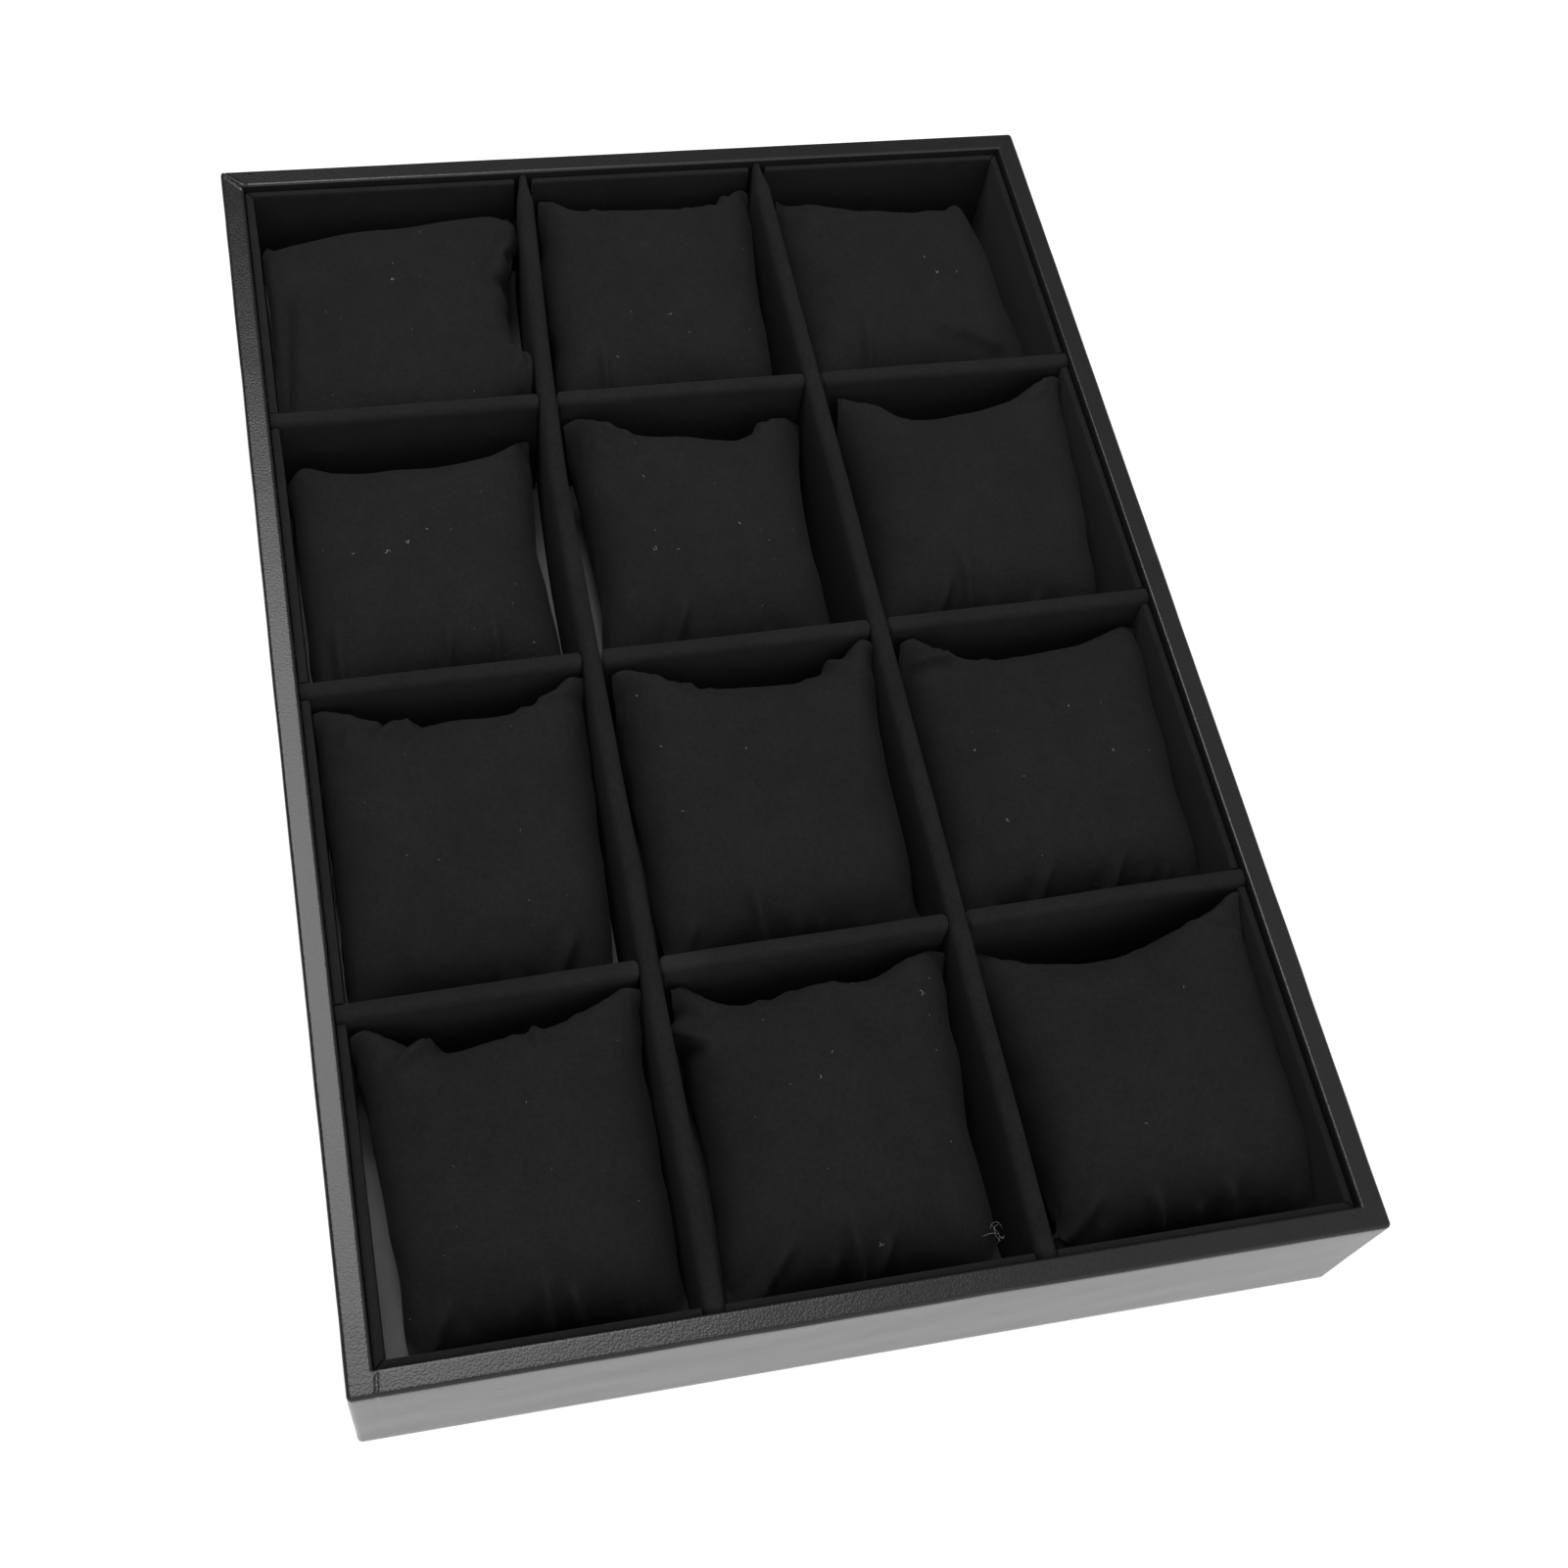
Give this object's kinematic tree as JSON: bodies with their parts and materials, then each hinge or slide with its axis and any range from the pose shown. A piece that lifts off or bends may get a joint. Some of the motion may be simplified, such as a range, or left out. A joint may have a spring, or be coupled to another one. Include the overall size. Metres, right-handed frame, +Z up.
{
  "type": "watch display tray",
  "caption": "Open rectangular tray with velvet-lined compartments, each holding a stuffed pillow that a watch is strapped round.",
  "frame": {"origin": "on the table, under the middle of the tray", "axes": "+X to the tray's right side, +Y from its front to its back, +Z up"},
  "size_m": [0.237, 0.35, 0.042],
  "materials": {
    "leatherette": "black leatherette with a fine pebble grain, half gloss",
    "lining_velvet": "black short-pile velvet over board",
    "pillow_velvet": "black short-pile velvet, stuffed",
    "floor_sheet": "smooth dark grey lining sheet",
    "base_card": "fibreboard covered in plain black paper"
  },
  "bodies": {
    "root": {"frame_front": "leatherette", "frame_back": "leatherette", "frame_left": "leatherette", "frame_right": "leatherette", "lining_front": "lining_velvet", "lining_back": "lining_velvet", "lining_left": "lining_velvet", "lining_right": "lining_velvet", "long_divider_left": "lining_velvet", "long_divider_right": "lining_velvet", "cross_divider_r1_c1": "lining_velvet", "cross_divider_r1_c2": "lining_velvet", "cross_divider_r1_c3": "lining_velvet", "cross_divider_r2_c1": "lining_velvet", "cross_divider_r2_c2": "lining_velvet", "cross_divider_r2_c3": "lining_velvet", "cross_divider_r3_c1": "lining_velvet", "cross_divider_r3_c2": "lining_velvet", "cross_divider_r3_c3": "lining_velvet", "pillow_r1_c1": "pillow_velvet", "pillow_r1_c2": "pillow_velvet", "pillow_r1_c3": "pillow_velvet", "pillow_r2_c1": "pillow_velvet", "pillow_r2_c2": "pillow_velvet", "pillow_r2_c3": "pillow_velvet", "pillow_r3_c1": "pillow_velvet", "pillow_r3_c2": "pillow_velvet", "pillow_r3_c3": "pillow_velvet", "pillow_r4_c1": "pillow_velvet", "pillow_r4_c2": "pillow_velvet", "pillow_r4_c3": "pillow_velvet", "floor_lining": "floor_sheet", "base_board": "base_card"}
  },
  "joints": []
}
